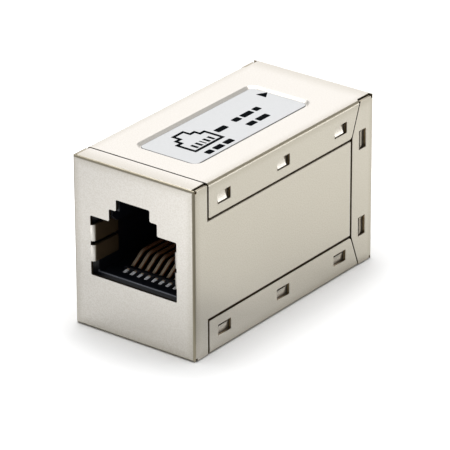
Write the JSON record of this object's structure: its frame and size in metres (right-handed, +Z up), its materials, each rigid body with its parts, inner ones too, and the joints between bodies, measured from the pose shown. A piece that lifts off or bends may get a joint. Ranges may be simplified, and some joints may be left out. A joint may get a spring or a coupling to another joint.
{
  "type": "rj45 inline coupler",
  "caption": "Shielded inline coupler that joins two network patch cables end to end: folded metal shells with snap catches round two back-to-back modular jacks.",
  "frame": {"origin": "middle of the underside", "axes": "+Y along the length from the front socket to the rear socket, +Z up towards the latches of the plugs, +X to the right when looking into the front socket"},
  "size_m": [0.0172, 0.0342, 0.021],
  "materials": {
    "nickel_plated_steel": "satin nickel plate on cold-rolled sheet steel",
    "label": "semi-gloss printed label stock",
    "board": "glass-fibre epoxy laminate with solder mask",
    "black_plastic": "moulded glass-filled thermoplastic",
    "carrier_plastic": "moulded thermoplastic",
    "gold_contact": "gold-plated phosphor bronze"
  },
  "bodies": {
    "root": {"front_shell": "nickel_plated_steel", "rear_shell": "nickel_plated_steel", "label": "label", "circuit_board": "board", "front_housing": "black_plastic", "front_contact_carrier": "carrier_plastic", "front_contact_1": "gold_contact", "front_contact_2": "gold_contact", "front_contact_3": "gold_contact", "front_contact_4": "gold_contact", "front_contact_5": "gold_contact", "front_contact_6": "gold_contact", "front_contact_7": "gold_contact", "front_contact_8": "gold_contact", "rear_housing": "black_plastic", "rear_contact_carrier": "carrier_plastic", "rear_contact_1": "gold_contact", "rear_contact_2": "gold_contact", "rear_contact_3": "gold_contact", "rear_contact_4": "gold_contact", "rear_contact_5": "gold_contact", "rear_contact_6": "gold_contact", "rear_contact_7": "gold_contact", "rear_contact_8": "gold_contact"}
  },
  "joints": []
}
